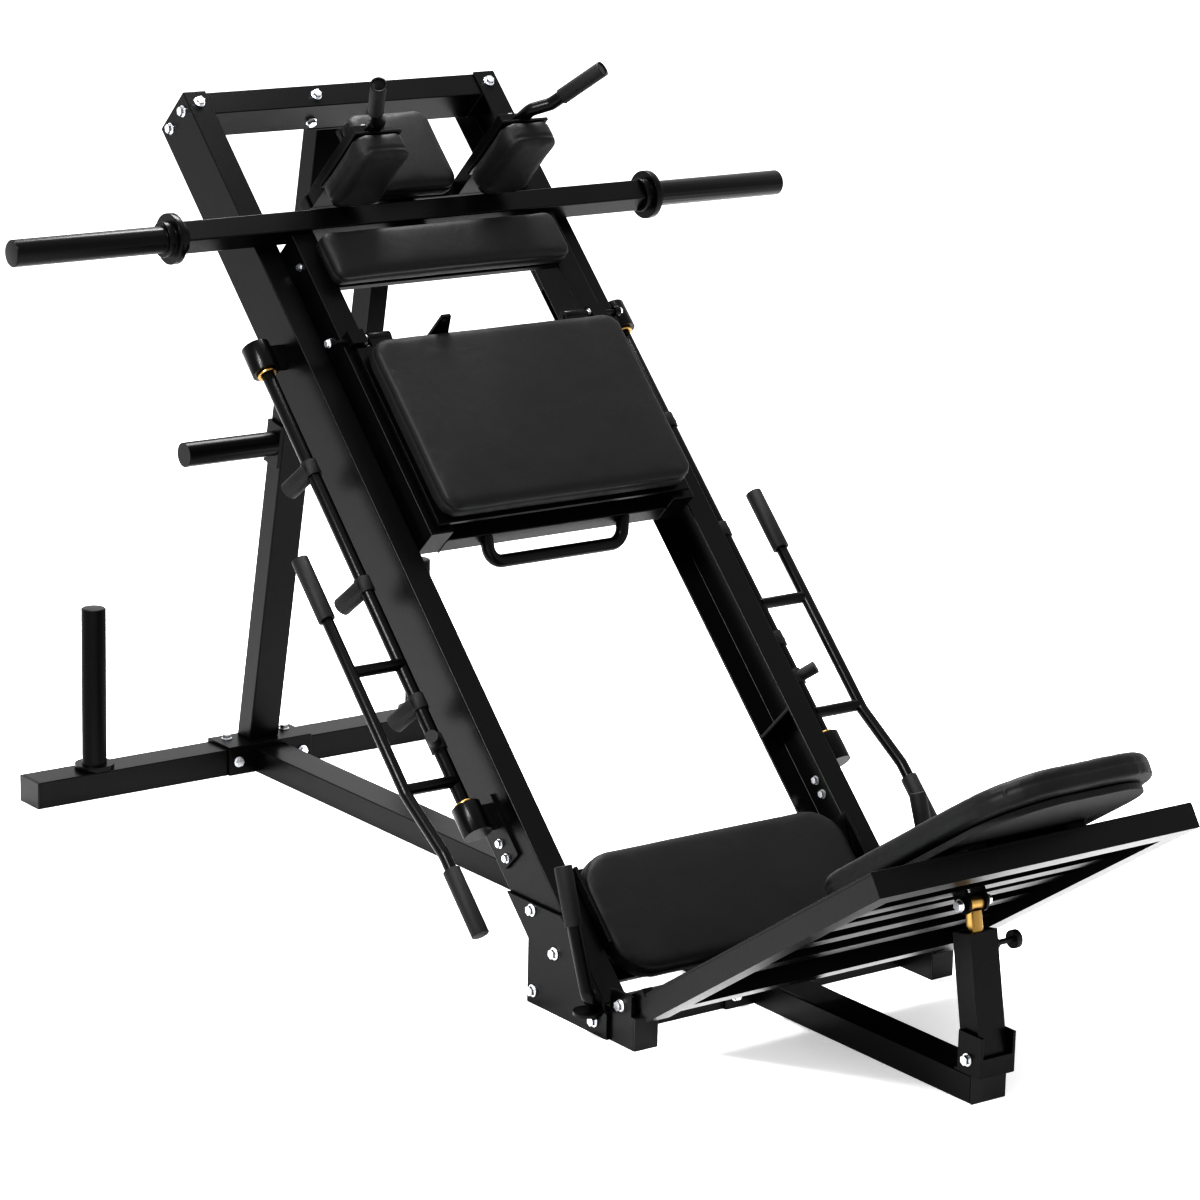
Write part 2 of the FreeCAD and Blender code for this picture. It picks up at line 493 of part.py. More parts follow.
def sled():
    """Two side members under a weight bar, with pads, shoulder yoke, handles and brace."""
    lip = "(rail_half - channel_wide)"
    outer = f"({lip} - member_gap)"
    top = "(member_low + member_high)"
    bar_low, bar_high = "(bar_up - bar_thick / 2)", "(bar_up + bar_thick / 2)"
    bar_span = ("bar_at - bar_thick / 2", "bar_at + bar_thick / 2")
    bar = block(RAIL, ("0 - bar_half", "bar_half"), bar_span, (bar_low, bar_high))
    finish(bar, "weight_bar")
    sleeves = []
    for name, sign in SIDES:
        inner = f"({outer} - member_wide)"
        member = tube(RAIL, both(sign, inner, outer), ("bar_at + bar_thick / 2", "member_end"),
                      ("member_low", top), "beam_wall", 1)
        end = block(RAIL, both(sign, inner, outer), ("member_end - beam_wall", "member_end"), ("member_low", top))
        finish(fuse(member, end), f"{name}_sled_member")
        hub = rod(RAIL, "collar_hub", both(sign, "bar_half", "bar_half + 3 * collar_step"), "bar_at", "bar_up")
        rim = both(sign, "bar_half + collar_step", "bar_half + 2 * collar_step")
        collar = fuse(hub, rod(RAIL, "collar_radius", rim, "bar_at", "bar_up"))
        sleeve = rod(RAIL, "sleeve_radius", both(sign, "bar_half", "sleeve_end"), "bar_at", "bar_up")
        sleeves.append(fuse(collar, sleeve))
    group("weight_sleeves", sleeves)
    inner = f"({outer} - member_wide)"
    cross = tube(RAIL, (f"0 - {inner}", inner), ("member_end - cross_tube", "member_end"),
                 ("member_low", "member_low + cross_tube"), "beam_wall", 0)
    finish(cross, "sled_cross_tube")
    spine = block(RAIL, ("0 - spine_half", "spine_half"), ("spine_start", "spine_end"),
                  (f"{bar_low} - spine_high", bar_low))
    rest = block(RAIL, ("0 - spine_half", "spine_half"), ("spine_start + 30", "spine_start + 130"),
                 (bar_low, "head_up - board_thick"))
    yoke = block(RAIL, ("0 - shoulder_far + 20", "shoulder_far - 20"), ("shoulder_at - 36", "shoulder_at - 6"),
                 (f"{bar_low} - 30", bar_low))
    strap = block(RAIL, (f"0 - {inner}", inner), ("spine_end - 40", "spine_end"), (f"{bar_low} - 17", bar_low))
    finish(fuse(spine, rest, yoke, strap), "sled_spine")
    boards = [
        block(RAIL, (f"0 - {inner}", inner), ("back_start + 6", "back_start + back_long - 6"),
              (f"{top} - board_thick", top)),
        block(RAIL, ("0 - head_half + 8", "head_half - 8"), ("head_start + 8", "head_start + head_pad_long - 8"),
              ("head_up - board_thick", "head_up")),
    ]
    blocks = []
    for _, sign in SIDES:
        plate = block(RAIL, both(sign, "shoulder_near + 8", "shoulder_far - 8"),
                      ("shoulder_at - shoulder_plate", "shoulder_at"), ("shoulder_low + 6", "shoulder_high - 8"))
        stem = block(RAIL, both(sign, "shoulder_near + 24", "shoulder_far - 24"),
                     ("shoulder_at - 36", "shoulder_at - shoulder_plate"), (bar_low, "shoulder_high - 30"))
        boards.append(fuse(plate, stem))
        blocks.append(cushion("", RAIL, both(sign, "shoulder_near", "shoulder_far"),
                              ("shoulder_at + soft_gap", "shoulder_at + shoulder_thick"),
                              ("shoulder_low", "shoulder_high"), 14, 12))
    group("pad_boards", boards)
    group("shoulder_pads", blocks)
    cushion("back_pad", RAIL, ("0 - back_half", "back_half"), ("back_start", "back_start + back_long"),
            (f"{top} + soft_gap", f"{top} + 45"), 24, 12)
    cushion("head_pad", RAIL, ("0 - head_half", "head_half"), ("head_start", "head_start + head_pad_long"),
            ("head_up + soft_gap", "head_up + 45"), 30, 12)
    brace()
    handles = []
    for _, sign in SIDES:
        path = ((f"{sign} * 168", "shoulder_at - 21", "shoulder_high - 50"),
                (f"{sign} * 172", "shoulder_at - 10", "shoulder_high + 14"),
                (f"{sign} * 200", "shoulder_at", "shoulder_high + 42"),
                (f"{sign} * handle_out", "handle_tip", "handle_high"))
        bar = bent_rod(RAIL, path, value("handle_bend"), value("handle_radius"))
        stem = block(RAIL, both(sign, "shoulder_near", "shoulder_far"), ("shoulder_at - 80", "shoulder_at + 40"),
                     ("0", "shoulder_high - 30"))
        tip = block(RAIL, both(sign, "shoulder_near", "shoulder_far"), ("shoulder_at - shoulder_plate", "bar_at + 20"),
                    ("0", "shoulder_high"))
        handles.append(cut(bar, stem, tip))
    group("shoulder_handles", handles)
    high, low = "member_low + 32", "member_low - 2"
    loop = (("0 - loop_half - 8", "member_end - 12", high), ("0 - loop_half", "member_end + loop_reach", low),
            ("loop_half", "member_end + loop_reach", low), ("loop_half + 8", "member_end - 12", high))
    inside = block(RAIL, (f"0 - {inner}", inner), ("member_end - cross_tube", "member_end"), ("member_low", "60"))
    finish(cut(bent_rod(RAIL, loop, value("loop_bend"), value("handle_radius")), inside), "u_handle")


def brace():
    """The slanting central brace from the spine down behind the sled."""
    under = "(bar_up - bar_thick / 2 - spine_high)"
    long = "sqrt(brace_run ^ 2 + brace_drop ^ 2)"
    item = doc.addObject("Part::Box", "Brace")
    item.setExpression("Length", bound("2 * brace_half"))
    item.setExpression("Width", bound("brace_deep"))
    item.setExpression("Height", bound(long))
    along, drop = "(spine_start + 115)", "(0 - brace_drop + 20)"
    place(item, RAIL, "0 - brace_half", f"0 - {along} - brace_run", drop,
          "(0 - atan(brace_run / brace_drop) / 1 deg)")
    above = block(RAIL, ("0 - rail_half", "rail_half"), ("0", "rail_run"), (under, "rail_run"))
    finish(cut(item, above), "sled_brace")


def running_gear():
    """Plates with stub axles under the members, and the four rollers inside the channels."""
    lip = "(rail_half - channel_wide)"
    outer = f"({lip} - member_gap)"
    middle = "(0 - channel_deep / 2)"
    plates = []
    for name, sign in SIDES:
        start = f"({lip} + 4)"
        for level, at in (("upper", "roller_upper"), ("lower", "roller_lower")):
            plate = block(RAIL, both(sign, f"{outer} - roller_plate", outer), (f"{at} - 35", f"{at} + 35"),
                          (f"{middle} - 30", "member_low"))
            hub = rod(RAIL, "axle_radius + 8", both(sign, outer, f"{start} - 1"), at, middle)
            axle = rod(RAIL, "axle_radius", both(sign, outer, f"{start} + roller_wide"), at, middle)
            plates.append(fuse(plate, hub, axle))
            wheel = rod(RAIL, "roller_radius", both(sign, start, f"{start} + roller_wide"), at, middle)
            bore = rod(RAIL, "axle_radius + fit_gap", both(sign, lip, "rail_half"), at, middle)
            finish(cut(wheel, bore), f"{name}_{level}_roller")
    group("roller_plates", plates)


def flip_panel():
    """The foot plate with a cushion on its back, on two hinge pins in ears on the members."""
    lip = "(rail_half - channel_wide)"
    outer = f"({lip} - member_gap)"
    top = "(member_low + member_high)"
    high = "(panel_low + panel_plate)"
    plate = block(RAIL, ("0 - panel_half", "panel_half"), ("panel_start", "panel_start + panel_long"),
                  ("panel_low", high))
    parts, pins = [plate], []
    for _, sign in SIDES:
        reach = both(sign, f"{outer} - 100", f"{outer} - 50")
        barrel = rod(RAIL, "barrel_radius", reach, "hinge_at", "hinge_up")
        leaf = block(RAIL, reach, ("hinge_at", "panel_start"), ("panel_low", high))
        bore = rod(RAIL, "hinge_pin + fit_gap", both(sign, "10", "rail_half"), "hinge_at", "hinge_up")
        parts.append(cut(fuse(barrel, leaf), bore))
        ear = block(RAIL, both(sign, f"{outer} - 42", f"{outer} - 8"), ("hinge_at - 15", "hinge_at + 15"),
                    (top, "hinge_up + 15"))
        pin = rod(RAIL, "hinge_pin", both(sign, f"{outer} - 102", "rail_half - 30"), "hinge_at", "hinge_up")
        knob = rod(RAIL, "barrel_radius - 2", both(sign, "rail_half - 40", "rail_half - 28"), "hinge_at", "hinge_up")
        pins.append(fuse(ear, pin, knob))
    lug = doc.addObject("PartDesign::Body", "Lug")
    corners = (("0 - lug_at - 12", "panel_low"), ("0 - lug_at + lug_half", "panel_low"),
               ("0 - lug_at + 8", "lug_top"), ("0 - lug_at - 12", "lug_top"))
    pad(lug, outline(lug, "XZ_Plane", corners), "lug_thick")
    place(lug, RAIL, "0", "0 - panel_start + lug_thick", "0")
    eye = rod(RAIL, "5", "0 - lug_at - 1", ("panel_start - 20", "panel_start + 20"), "lug_top - 13")
    parts.append(cut(lug, eye))
    finish(fuse(*parts), "panel_plate")
    group("panel_hinge_pins", pins)
    cushion("panel_pad", RAIL, ("0 - panel_half", "panel_half"), ("panel_start + 5", "panel_start + panel_long"),
            (f"{high} + soft_gap", f"{high} + panel_pad"), 34, 12)


# ---------------------------------------------------------------- the safety shafts

def safety_shafts():
    """A shaft in two cups beside each rail, its stops, and a lever bar that turns it."""
    for name, sign in SIDES:
        centre = f"{sign} * (rail_half + shaft_out)"
        reach = f"{sign} * (rail_half + shaft_out + lever_reach)"
        shaft = rod(RAIL, "shaft_radius", centre, ("cup_upper + cup_wall + 1", "cup_lower + cup_long - cup_wall - 1"),
                    "shaft_up")
        finish(shaft, f"{name}_safety_shaft")
        x, up, long = value(centre), value("shaft_up"), value("hub_long")
        tilt = Placement(Vector(0, value(RAIL_TOP_Y), value(RAIL_TOP_Z)),
                         Rotation(Vector(1, 0, 0), value("rail_angle")))
        run, along = value("rail_run"), Vector(0, 1, 0)
        core = Part.makeCylinder(value("shaft_radius"), run, Vector(x, -run, up), along)
        stops = []
        kinds = [(at, "stop_angle", "shaft_stub", "stub_reach") for at in ("stop_upper", "stop_middle", "stop_lower")]
        kinds.append(("latch_at", "latch_angle", "latch_radius", "latch_long"))
        for at, angle, radius, reach_out in kinds:
            angle = math.radians(value(angle))
            way = Vector(sign * math.cos(angle), 0, math.sin(angle))
            hub = Part.makeCylinder(value("shaft_radius") + value("hub_wall"), long,
                                    Vector(x, -value(at) - long / 2, up), along)
            stub = Part.makeCylinder(value(radius), value(reach_out), Vector(x, -value(at), up), way)
            stop = doc.addObject("Part::Feature", "Stop")
            stop.Shape = stub.fuse(hub).cut(core).removeSplitter()
            stop.Placement = tilt
            stops.append(stop)
        group(f"{name}_shaft_stops", stops)
        high, low = "shaft_up + lever_lift", "shaft_up + lever_step"
        path = ((reach, "lever_top", high), (reach, "lever_knee", high), (reach, "lever_heel", low),
                (reach, "lever_end", low))
        bar = bent_rod(RAIL, path, value("lever_bend"), value("lever_radius"))
        links = [rod(RAIL, "lever_radius", both(sign, "rail_half + shaft_out", "rail_half + shaft_out + lever_reach"),
                     at, "shaft_up + 4") for at in ("link_upper", "link_lower")]
        hub_hole = rod(RAIL, "shaft_radius", centre, ("cup_upper", "cup_lower"), "shaft_up")
        finish(cut(fuse(bar, *links), hub_hole), f"{name}_safety_lever")
        ends = ((("lever_top - 5", "lever_top + grip_long"), ("lever_top", "lever_top + grip_long"), high),
                (("lever_end - grip_long", "lever_end + 5"), ("lever_end - grip_long", "lever_end"), low))
        grips = [cut(rod(RAIL, "grip_radius", reach, outer, up), rod(RAIL, "lever_radius", reach, inner, up))
                 for outer, inner, up in ends]
        group(f"{name}_lever_grips", grips)


# ---------------------------------------------------------------- the platform and its strut

def platform():
    """A tube frame with a plate on slats, hinged at its foot, with the leg press back pad on top."""
    under = ("0 - deck_plate - deck_deep", "0 - deck_plate")
    inner = "(deck_half - deck_wide)"
    arms, tubes = [], []
    for _, sign in SIDES:
        tubes.append(tube(DECK, both(sign, inner, "deck_half"), ("deck_start", "deck_end - deck_wide"),
                          under, "beam_wall", 1))
        span = both(sign, "deck_half - arm_wide", "deck_half")
        arms.append(block(DECK, span, ("0", "deck_start + 22"), ("0 - arm_half", "arm_half")))
        arms.append(rod(DECK, "arm_half", span, "0", "0"))
    top = tube(DECK, ("0 - deck_half", "deck_half"), ("deck_end - deck_wide", "deck_end"), under, "beam_wall", 0)
    foot = tube(DECK, (f"0 - {inner}", inner), ("deck_start + 40", "deck_start + 80"), under, "beam_wall", 0)
    bar_low = "(0 - deck_plate - clevis_bar)"
    rail = tube(DECK, (f"0 - {inner}", inner), ("clevis_at - 20", "clevis_at + 20"), (bar_low, under[1]),
                "beam_wall", 0)
    ends = []
    for _, sign in SIDES:
        ends.append(block(DECK, both(sign, "deck_half - beam_wall", "deck_half"), ("deck_end - deck_wide", "deck_end"),
                          under))
        ends.append(block(DECK, both(sign, inner, "deck_half"), ("deck_start", "deck_start + beam_wall"), under))
    ears = []
    for _, sign in SIDES:
        span = both(sign, "rod_radius + 2", "rod_radius + 8")
        ears.append(block(DECK, span, ("clevis_at - 17", "clevis_at + 17"), ("0 - clevis_drop", bar_low)))
        ears.append(rod(DECK, "17", span, "clevis_at", "0 - clevis_drop"))
    pivot = rod(DECK, "pivot_bolt + fit_gap", ("0 - rail_half", "rail_half"), "0", "0")
    pin = rod(DECK, "clevis_pin", ("0 - rod_radius - 14", "rod_radius + 14"), "clevis_at", "0 - clevis_drop")
    finish(cut(fuse(*tubes, *ends, *arms, top, foot, rail, *ears, pin), pivot), "platform_frame")
    slats = [block(DECK, (f"0 - {inner}", inner), (f"{at} - slat_wide / 2", f"{at} + slat_wide / 2"),
                   ("0 - deck_plate - slat_deep", "0 - deck_plate")) for at in ("205", "330", "440", "635")]
    plate = block(DECK, ("0 - deck_half", "deck_half"), ("deck_start + 24", "deck_end"), ("0 - deck_plate", "0"))
    rests = [block(DECK, both(sign, "leg_half - 100", "leg_half - 60"), ("leg_start + 60", "deck_end - 20"),
                   ("0", "leg_rise")) for _, sign in SIDES]
    finish(fuse(plate, *slats, *rests), "footplate")
    board = block(DECK, ("0 - leg_half + 14", "leg_half - 14"), ("leg_start + 14", "leg_start + leg_long - 30"),
                  ("leg_rise", "leg_rise + board_thick"))
    finish(board, "leg_pad_board")
    cushion("leg_pad", DECK, ("0 - leg_half", "leg_half"), ("leg_start", "leg_start + leg_long"),
            ("leg_rise + board_thick + soft_gap", "leg_rise + board_thick + pad_thick"), 70, 14)


def strut():
    """The tilting front post in its bracket, the drilled rod inside it and the sprung pull pin."""
    clear = "(strut_half + 2)"
    plates = [block(WORLD, both(sign, clear, f"{clear} + bracket_plate"),
                    ("strut_y - bracket_half", "strut_y + 25"), ("base_high", "bracket_top")) for _, sign in SIDES]
    floor = block(WORLD, (f"0 - {clear} - bracket_plate", f"{clear} + bracket_plate"),
                  ("strut_y + 6", "strut_y + bracket_half - 1"), ("base_high", "base_high + 5"))
    strap = block(WORLD, (f"0 - {clear} - bracket_plate", f"{clear} + bracket_plate"),
                  ("strut_y - bracket_half", "strut_y - bracket_half + bracket_plate"), ("base_high", "strut_z + 8"))
    hole = rod(WORLD, "pivot_bolt", ("0 - 60", "60"), "strut_y", "strut_z")
    finish(cut(fuse(floor, strap, *plates), hole), "front_post_bracket")
    depth = ("0 - strut_deep / 2", "strut_deep / 2")
    post = tube(STRUT, ("0 - strut_half", "strut_half"), depth, ("0 - 10", "strut_top"), "strut_wall", 2)
    pivot = rod(STRUT, "pivot_bolt + fit_gap", ("0 - 60", "60"), "0", "0")
    port = rod(STRUT, "pin_radius + fit_gap", ("0", "strut_half + 40"), "0", "pin_up")
    boss = rod(STRUT, "pin_radius + 4", ("strut_half", "strut_half + 16"), "0", "pin_up")
    wedge, gap = "(strut_deep / 2 - strut_wall)", "(rod_radius + 0.1)"
    guides = [block(STRUT, ("0 - strut_half + strut_wall", "strut_half - strut_wall"), both(sign, gap, wedge),
                    ("strut_top - 14", "strut_top")) for _, sign in SIDES]
    finish(cut(fuse(post, boss, *guides), pivot, port), "front_post")
    reach = "(clevis_at * sin(incline) - clevis_drop * cos(incline) + pivot_z - strut_z) / cos(strut_lean)"
    bar = rod(STRUT, "rod_radius", "0", "0", ("rod_low", f"{reach} - 12"))
    eye = rod(STRUT, "rod_radius", ("0 - rod_radius", "rod_radius"), "0", reach)
    play = rod(STRUT, "clevis_pin + clevis_play", ("0 - 60", "60"), "0", reach)
    groove = block(STRUT, ("6", "rod_radius + 2"), ("0 - pin_radius - 1.5", "pin_radius + 1.5"),
                   ("rod_low - 1", f"{reach} - 22"))
    finish(cut(fuse(bar, eye), play, groove), "strut_rod")
    stem = rod(STRUT, "pin_radius", ("7", "strut_half + 49"), "0", "pin_up")
    knob = rod(STRUT, "knob_radius", ("strut_half + 48", "strut_half + 60"), "0", "pin_up")
    finish(fuse(stem, knob), "pull_pin")


def bolts():
    """Zinc hexagon bolts of the frame, their heads and washers on the joined faces, and pivot bolts."""
    heads = []
    web, face = "rail_half", "rail_half + gusset_thick"
    for _, sign in SIDES:
        for y, z in ((-365, 172), (-435, 112), (-373, 25), (-554, 25)):
            heads.append(bolt(WORLD, f"{sign} * ({face})", f"{y}", f"{z}", 0, sign))
        heads.append(bolt(RAIL, f"{sign} * {web}", "top_beam_start + 25", "0 - 25", 0, sign))
        heads.append(bolt(RAIL, f"{sign} * {web}", "top_beam_start + 21", "0 - 84", 0, sign))
        heads.append(bolt(RAIL, f"{sign} * bolt_near", "top_beam_start + top_beam_wide", "0 - 54", 1, -1))
        heads.append(bolt(RAIL, f"{sign} * (rail_half - 25)", "top_beam_start + 25", "0", 2))
        heads.append(bolt(RAIL, f"{sign} * bolt_near", "top_beam_start + 25", "0 - channel_wall", 2))
        heads.append(bolt(WORLD, f"{sign} * bolt_far", "0 - cross_front - flange_thick", "25", 1, -1))
        heads.append(bolt(WORLD, f"{sign} * bolt_near", "rear_beam_y + 17", "rear_beam_high + saddle_thick", 2))
        heads.append(bolt(WORLD, f"{sign} * bolt_far", "rear_beam_y - rear_beam_wide / 2 - saddle_thick", "28", 1, -1))
        heads.append(bolt(WORLD, f"{sign} * bolt_far", "rear_beam_y + rear_beam_wide / 2 + saddle_thick", "28", 1, 1))
        for at in ("cup_lower + cup_long + 20", "cup_lower + cup_long + 50"):
            heads.append(bolt(RAIL, f"{sign} * (rail_half + cup_plate)", at, "shaft_up - 12", 0, sign, 7))
            heads.append(bolt(RAIL, f"{sign} * (rail_half - channel_wall)", at, "shaft_up - 12", 0, -sign, 7))
        shank = rod(WORLD, "pivot_bolt", both(sign, "deck_half - arm_wide - 6", "rail_half"), "pivot_y", "pivot_z")
        nut = rod(WORLD, "pivot_bolt + 5", both(sign, "deck_half - arm_wide - 9", "deck_half - arm_wide - 1.5"),
                  "pivot_y", "pivot_z")
        heads.append(fuse(shank, nut, bolt(WORLD, f"{sign} * rail_half", "pivot_y", "pivot_z", 0, sign)))
    ends = [bolt(WORLD, f"{sign} * (strut_half + 8)", "strut_y", "strut_z", 0, sign) for _, sign in SIDES]
    heads.append(fuse(rod(WORLD, "pivot_bolt", ("0 - strut_half - 8", "strut_half + 8"), "strut_y", "strut_z"), *ends))
    group("frame_bolts", heads)
    sled_heads = []
    for _, sign in SIDES:
        outer = f"{sign} * (rail_half - channel_wide - member_gap)"
        middle = f"{sign} * (shoulder_near + shoulder_far) / 2"
        sled_heads.append(bolt(RAIL, outer, "bar_at + 85", "22", 0, sign, 6))
        for up in ("shoulder_low + 45", "shoulder_high - 45"):
            sled_heads.append(bolt(RAIL, middle, "shoulder_at - 36", up, 1, 1, 7))
    group("sled_bolts", sled_heads)


base_pieces()
rear_post()
feet()
rails()
seat()
cups()
sled()
running_gear()
flip_panel()
safety_shafts()
platform()
strut()
bolts()
doc.recompute()

faults = [f"{item.Name}: {item.State}" for item in doc.Objects if {"Invalid", "Error"} & set(item.State)]
faults += [item.Label for item in pieces if item.Shape.isNull() or not item.Shape.isValid()]
if faults:
    raise RuntimeError("; ".join(faults))
for item in pieces:
    item.Shape.exportStep(f"parts/{item.Label}.step")
    box = item.Shape.BoundBox
    print(item.Label, len(item.Shape.Solids), round(item.Shape.Volume / 1000), "cm3",
          [round(n) for n in (box.XMin, box.XMax, box.YMin, box.YMax, box.ZMin, box.ZMax)])
print(len(pieces), "sub-parts")
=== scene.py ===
import json
import math

import bmesh
import bpy
from mathutils import Matrix, Vector, noise


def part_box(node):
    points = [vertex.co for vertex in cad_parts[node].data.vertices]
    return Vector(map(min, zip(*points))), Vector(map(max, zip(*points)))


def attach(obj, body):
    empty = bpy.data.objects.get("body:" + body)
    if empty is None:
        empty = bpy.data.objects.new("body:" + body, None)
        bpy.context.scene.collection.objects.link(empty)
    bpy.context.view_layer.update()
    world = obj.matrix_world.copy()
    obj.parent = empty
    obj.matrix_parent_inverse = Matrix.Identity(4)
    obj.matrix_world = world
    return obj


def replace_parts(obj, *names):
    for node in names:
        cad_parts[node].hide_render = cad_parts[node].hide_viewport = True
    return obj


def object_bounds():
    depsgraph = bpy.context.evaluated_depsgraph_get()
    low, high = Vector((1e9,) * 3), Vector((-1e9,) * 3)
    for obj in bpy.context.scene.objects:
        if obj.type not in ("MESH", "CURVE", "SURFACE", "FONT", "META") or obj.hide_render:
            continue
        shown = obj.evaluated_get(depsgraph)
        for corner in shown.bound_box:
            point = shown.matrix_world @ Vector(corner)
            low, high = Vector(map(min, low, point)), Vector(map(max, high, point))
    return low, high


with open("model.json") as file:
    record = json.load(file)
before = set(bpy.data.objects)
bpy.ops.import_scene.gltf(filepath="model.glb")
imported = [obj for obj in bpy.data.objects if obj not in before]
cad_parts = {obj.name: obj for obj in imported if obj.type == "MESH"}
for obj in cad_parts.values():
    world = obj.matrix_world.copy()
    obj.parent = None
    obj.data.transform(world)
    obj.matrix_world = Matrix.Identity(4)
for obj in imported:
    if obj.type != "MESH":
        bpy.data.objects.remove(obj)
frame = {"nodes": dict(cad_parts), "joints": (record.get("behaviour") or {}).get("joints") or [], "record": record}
cad_low, cad_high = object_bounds()
nodes = frame["nodes"]

# ---------------------------------------------------------------- painted steel
# Every beam, rail and plate is welded steel with a satin black powder coat, sprayed and baked.
# The coat has a fine orange peel and holds a little pale dust on what faces up.


def new_material(name):
    """A node material and its shader."""
    material = bpy.data.materials.new(name)
    material.use_nodes = True
    return material, material.node_tree, material.node_tree.nodes["Principled BSDF"]


def add(tree, kind, **sockets):
    """A shader node with some of its inputs set."""
    node = tree.nodes.new(kind)
    for socket, number in sockets.items():
        node.inputs[socket].default_value = number
    return node


def build_dust_and_grain():
    """Dust on what faces up, a fine grain and a soft cloud, as values for any finish."""
    tree = bpy.data.node_groups.new("Dust and grain", "ShaderNodeTree")
    for label, usual in (("Patch scale", 9.0), ("Grain scale", 420.0), ("Cloud scale", 3.5)):
        tree.interface.new_socket(label, in_out="INPUT", socket_type="NodeSocketFloat").default_value = usual
    for label in ("Dust", "Grain", "Cloud"):
        tree.interface.new_socket(label, in_out="OUTPUT", socket_type="NodeSocketFloat")
    scales = tree.nodes.new("NodeGroupInput")
    result = tree.nodes.new("NodeGroupOutput")
    place = tree.nodes.new("ShaderNodeTexCoord")
    facing = tree.nodes.new("ShaderNodeNewGeometry")
    split = tree.nodes.new("ShaderNodeSeparateXYZ")
    upward = tree.nodes.new("ShaderNodeMapRange")
    upward.inputs["From Min"].default_value = 0.3
    share = tree.nodes.new("ShaderNodeMath")
    share.operation = "MULTIPLY"
    tree.links.new(facing.outputs["Normal"], split.inputs[0])
    tree.links.new(split.outputs["Z"], upward.inputs["Value"])
    tree.links.new(upward.outputs["Result"], share.inputs[0])
    for label, detail in (("Patch", 6.0), ("Grain", 2.0), ("Cloud", 4.0)):
        pattern = add(tree, "ShaderNodeTexNoise", Detail=detail)
        tree.links.new(place.outputs["Object"], pattern.inputs["Vector"])
        tree.links.new(scales.outputs[label + " scale"], pattern.inputs["Scale"])
        target = share.inputs[1] if label == "Patch" else result.inputs[label]
        tree.links.new(pattern.outputs["Fac"], target)
    tree.links.new(share.outputs[0], result.inputs["Dust"])
    return tree


dust_and_grain = build_dust_and_grain()


def shared_effect(tree, patch=9.0, grain=420.0, cloud=3.5):
    """The dust and grain group inside one material, with that finish's own scales."""
    node = tree.nodes.new("ShaderNodeGroup")
    node.node_tree = dust_and_grain
    for label, scale in (("Patch scale", patch), ("Grain scale", grain), ("Cloud scale", cloud)):
        node.inputs[label].default_value = scale
    return node


def spread(tree, source, target, low, high):
    """Turn a 0 to 1 value into a range on a socket."""
    node = tree.nodes.new("ShaderNodeMapRange")
    node.inputs["To Min"].default_value = low
    node.inputs["To Max"].default_value = high
    tree.links.new(source, node.inputs["Value"])
    tree.links.new(node.outputs["Result"], target)


def tint(tree, shader, amount, dark, pale):
    """Mix two colours into the shader's base colour by a value."""
    mix = tree.nodes.new("ShaderNodeMix")
    mix.data_type = "RGBA"
    mix.inputs["A"].default_value = (*dark, 1)
    mix.inputs["B"].default_value = (*pale, 1)
    tree.links.new(amount, mix.inputs["Factor"])
    tree.links.new(mix.outputs["Result"], shader.inputs["Base Color"])


def relief(tree, shader, height, distance, strength=0.5):
    """Bump the shader's normal by a height, over any bump it already has."""
    bump = add(tree, "ShaderNodeBump", Strength=strength, Distance=distance)
    tree.links.new(height, bump.inputs["Height"])
    before = shader.inputs["Normal"].links
    if before:
        tree.links.new(before[0].from_socket, bump.inputs["Normal"])
    tree.links.new(bump.outputs["Normal"], shader.inputs["Normal"])


powder, tree, shader = new_material("satin black powder coat")
effect = shared_effect(tree)
spread(tree, effect.outputs["Cloud"], shader.inputs["Roughness"], 0.25, 0.34)
lift = tree.nodes.new("ShaderNodeMath")
lift.operation = "MULTIPLY"
lift.inputs[1].default_value = 0.30
tree.links.new(effect.outputs["Dust"], lift.inputs[0])
tint(tree, shader, lift.outputs[0], (0.0011, 0.0011, 0.0012), (0.009, 0.009, 0.0094))
relief(tree, shader, effect.outputs["Grain"], 0.0006, 0.35)
shader.inputs["Specular IOR Level"].default_value = 0.13

# ---------------------------------------------------------------- zinc, brass, rubber, nylon and board
# Bolts and pins are zinc plated steel, slightly blue and brushed. The strut rod and thrust rings
# are satin brass. Grips and stops are moulded rubber, rollers and end plugs moulded plastic.


def metal(name, dark, pale, low, high):
    """A bare metal whose shine varies in soft patches."""
    material, tree, shader = new_material(name)
    effect = shared_effect(tree)
    shader.inputs["Metallic"].default_value = 1.0
    spread(tree, effect.outputs["Cloud"], shader.inputs["Roughness"], low, high)
    tint(tree, shader, effect.outputs["Cloud"], dark, pale)
    relief(tree, shader, effect.outputs["Grain"], 0.0002, 0.25)
    return material


def moulded(name, dark, pale, low, high, depth):
    """A moulded plastic or rubber with a fine texture."""
    material, tree, shader = new_material(name)
    effect = shared_effect(tree)
    spread(tree, effect.outputs["Cloud"], shader.inputs["Roughness"], low, high)
    tint(tree, shader, effect.outputs["Dust"], dark, pale)
    relief(tree, shader, effect.outputs["Grain"], depth, 0.5)
    shader.inputs["Specular IOR Level"].default_value = 0.2
    return material


